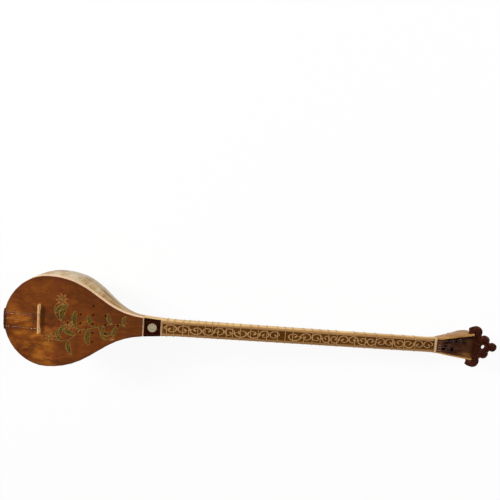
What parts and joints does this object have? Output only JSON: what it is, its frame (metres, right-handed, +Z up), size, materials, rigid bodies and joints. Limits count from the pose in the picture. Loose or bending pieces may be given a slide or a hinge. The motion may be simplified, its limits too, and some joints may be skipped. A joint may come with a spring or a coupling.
{
  "type": "setar",
  "caption": "Long-necked lute with a staved bowl, tied movable frets, a loose bridge, an open pegbox with rear friction pegs and a carved crest.",
  "frame": {"origin": "bottom centre of the bounding box of the instrument as it lies on its back, resting on the bowl and a peg", "axes": "+X towards the head, +Y across the strings, +Z up; the soundboard's face leans 6.79 degrees towards +X"},
  "size_m": [0.8142, 0.1516, 0.141],
  "materials": {
    "board_wood": "glossy lacquer, red-brown burl",
    "stave_wood": "glossy lacquer, flamed maple",
    "rim_wood": "satin",
    "neck_wood": "glossy lacquer, golden",
    "dark_wood": "satin, near black",
    "panel_wood": "satin, dark brown with a light scroll inlay",
    "crest_wood": "carved, reddish black",
    "block_wood": "sawn",
    "bone": "polished",
    "gut": "waxed gut",
    "steel": "drawn wire",
    "brass": "drawn wire"
  },
  "bodies": {
    "instrument": {"soundboard": "board_wood", "rim_band": "rim_wood", "bowl_stave_01": "stave_wood", "bowl_stave_02": "stave_wood", "bowl_stave_03": "stave_wood", "bowl_stave_04": "stave_wood", "bowl_stave_05": "stave_wood", "bowl_stave_06": "stave_wood", "bowl_stave_07": "stave_wood", "bowl_stave_08": "stave_wood", "bowl_stave_09": "stave_wood", "bowl_stave_10": "stave_wood", "bowl_stave_11": "stave_wood", "tail_block": "block_wood", "neck_block": "block_wood", "tailpiece": "dark_wood", "neck": "neck_wood", "fingerboard": "panel_wood", "joint_plate": "dark_wood", "disc_inlay": "bone", "nut": "bone", "pegbox": "neck_wood", "crest": "crest_wood", "string_1": "brass", "string_2": "steel", "string_3": "brass", "string_4": "steel"},
    "bridge": {"bridge": "rim_wood"},
    "peg_1": {"peg_1": "dark_wood"},
    "peg_2": {"peg_2": "dark_wood"},
    "peg_3": {"peg_3": "dark_wood"},
    "peg_4": {"peg_4": "dark_wood"},
    "fret_01": {"fret_01": "gut"},
    "fret_02": {"fret_02": "gut"},
    "fret_03": {"fret_03": "gut"},
    "fret_04": {"fret_04": "gut"},
    "fret_05": {"fret_05": "gut"},
    "fret_06": {"fret_06": "gut"},
    "fret_07": {"fret_07": "gut"},
    "fret_08": {"fret_08": "gut"},
    "fret_09": {"fret_09": "gut"},
    "fret_10": {"fret_10": "gut"},
    "fret_11": {"fret_11": "gut"},
    "fret_12": {"fret_12": "gut"},
    "fret_13": {"fret_13": "gut"},
    "fret_14": {"fret_14": "gut"},
    "fret_15": {"fret_15": "gut"},
    "fret_16": {"fret_16": "gut"},
    "fret_17": {"fret_17": "gut"},
    "fret_18": {"fret_18": "gut"},
    "fret_19": {"fret_19": "gut"},
    "fret_20": {"fret_20": "gut"},
    "fret_21": {"fret_21": "gut"},
    "fret_22": {"fret_22": "gut"},
    "fret_23": {"fret_23": "gut"},
    "fret_24": {"fret_24": "gut"},
    "fret_25": {"fret_25": "gut"},
    "fret_26": {"fret_26": "gut"},
    "fret_27": {"fret_27": "gut"},
    "fret_28": {"fret_28": "gut"}
  },
  "joints": [
    {"name": "bridge_slide", "type": "slide", "parent": "instrument", "child": "bridge", "axis": [0.993, 0, -0.1183], "range_m": [-0.001, 0.004]},
    {"name": "peg_1_turn", "type": "hinge", "parent": "instrument", "child": "peg_1", "pos_m": [0.34349, 0.0065, 0.0382], "axis": [0.1787, 0, 0.9839], "continuous": true},
    {"name": "peg_2_turn", "type": "hinge", "parent": "instrument", "child": "peg_2", "pos_m": [0.32972, 0.0045, 0.0407], "axis": [0.1787, 0, 0.9839], "continuous": true},
    {"name": "peg_3_turn", "type": "hinge", "parent": "instrument", "child": "peg_3", "pos_m": [0.32382, -0.0065, 0.04177], "axis": [0.1787, 0, 0.9839], "continuous": true},
    {"name": "peg_4_turn", "type": "hinge", "parent": "instrument", "child": "peg_4", "pos_m": [0.33661, -0.0095, 0.03945], "axis": [0.1787, 0, 0.9839], "continuous": true},
    {"name": "fret_01_slide", "type": "slide", "parent": "instrument", "child": "fret_01", "axis": [0.993, 0, -0.1183], "range_m": [-0.003, 0.003]},
    {"name": "fret_02_slide", "type": "slide", "parent": "instrument", "child": "fret_02", "axis": [0.993, 0, -0.1183], "range_m": [-0.003, 0.003]},
    {"name": "fret_03_slide", "type": "slide", "parent": "instrument", "child": "fret_03", "axis": [0.993, 0, -0.1183], "range_m": [-0.003, 0.003]},
    {"name": "fret_04_slide", "type": "slide", "parent": "instrument", "child": "fret_04", "axis": [0.993, 0, -0.1183], "range_m": [-0.003, 0.003]},
    {"name": "fret_05_slide", "type": "slide", "parent": "instrument", "child": "fret_05", "axis": [0.993, 0, -0.1183], "range_m": [-0.003, 0.003]},
    {"name": "fret_06_slide", "type": "slide", "parent": "instrument", "child": "fret_06", "axis": [0.993, 0, -0.1183], "range_m": [-0.003, 0.003]},
    {"name": "fret_07_slide", "type": "slide", "parent": "instrument", "child": "fret_07", "axis": [0.993, 0, -0.1183], "range_m": [-0.003, 0.003]},
    {"name": "fret_08_slide", "type": "slide", "parent": "instrument", "child": "fret_08", "axis": [0.993, 0, -0.1183], "range_m": [-0.003, 0.003]},
    {"name": "fret_09_slide", "type": "slide", "parent": "instrument", "child": "fret_09", "axis": [0.993, 0, -0.1183], "range_m": [-0.003, 0.003]},
    {"name": "fret_10_slide", "type": "slide", "parent": "instrument", "child": "fret_10", "axis": [0.993, 0, -0.1183], "range_m": [-0.003, 0.003]},
    {"name": "fret_11_slide", "type": "slide", "parent": "instrument", "child": "fret_11", "axis": [0.993, 0, -0.1183], "range_m": [-0.003, 0.003]},
    {"name": "fret_12_slide", "type": "slide", "parent": "instrument", "child": "fret_12", "axis": [0.993, 0, -0.1183], "range_m": [-0.003, 0.003]},
    {"name": "fret_13_slide", "type": "slide", "parent": "instrument", "child": "fret_13", "axis": [0.993, 0, -0.1183], "range_m": [-0.003, 0.003]},
    {"name": "fret_14_slide", "type": "slide", "parent": "instrument", "child": "fret_14", "axis": [0.993, 0, -0.1183], "range_m": [-0.003, 0.003]},
    {"name": "fret_15_slide", "type": "slide", "parent": "instrument", "child": "fret_15", "axis": [0.993, 0, -0.1183], "range_m": [-0.003, 0.003]},
    {"name": "fret_16_slide", "type": "slide", "parent": "instrument", "child": "fret_16", "axis": [0.993, 0, -0.1183], "range_m": [-0.003, 0.003]},
    {"name": "fret_17_slide", "type": "slide", "parent": "instrument", "child": "fret_17", "axis": [0.993, 0, -0.1183], "range_m": [-0.003, 0.003]},
    {"name": "fret_18_slide", "type": "slide", "parent": "instrument", "child": "fret_18", "axis": [0.993, 0, -0.1183], "range_m": [-0.003, 0.003]},
    {"name": "fret_19_slide", "type": "slide", "parent": "instrument", "child": "fret_19", "axis": [0.993, 0, -0.1183], "range_m": [-0.003, 0.003]},
    {"name": "fret_20_slide", "type": "slide", "parent": "instrument", "child": "fret_20", "axis": [0.993, 0, -0.1183], "range_m": [-0.003, 0.003]},
    {"name": "fret_21_slide", "type": "slide", "parent": "instrument", "child": "fret_21", "axis": [0.993, 0, -0.1183], "range_m": [-0.003, 0.003]},
    {"name": "fret_22_slide", "type": "slide", "parent": "instrument", "child": "fret_22", "axis": [0.993, 0, -0.1183], "range_m": [-0.003, 0.003]},
    {"name": "fret_23_slide", "type": "slide", "parent": "instrument", "child": "fret_23", "axis": [0.993, 0, -0.1183], "range_m": [-0.003, 0.003]},
    {"name": "fret_24_slide", "type": "slide", "parent": "instrument", "child": "fret_24", "axis": [0.993, 0, -0.1183], "range_m": [-0.003, 0.003]},
    {"name": "fret_25_slide", "type": "slide", "parent": "instrument", "child": "fret_25", "axis": [0.993, 0, -0.1183], "range_m": [-0.003, 0.003]},
    {"name": "fret_26_slide", "type": "slide", "parent": "instrument", "child": "fret_26", "axis": [0.993, 0, -0.1183], "range_m": [-0.003, 0.003]},
    {"name": "fret_27_slide", "type": "slide", "parent": "instrument", "child": "fret_27", "axis": [0.993, 0, -0.1183], "range_m": [-0.003, 0.003]},
    {"name": "fret_28_slide", "type": "slide", "parent": "instrument", "child": "fret_28", "axis": [0.993, 0, -0.1183], "range_m": [-0.003, 0.003]}
  ]
}
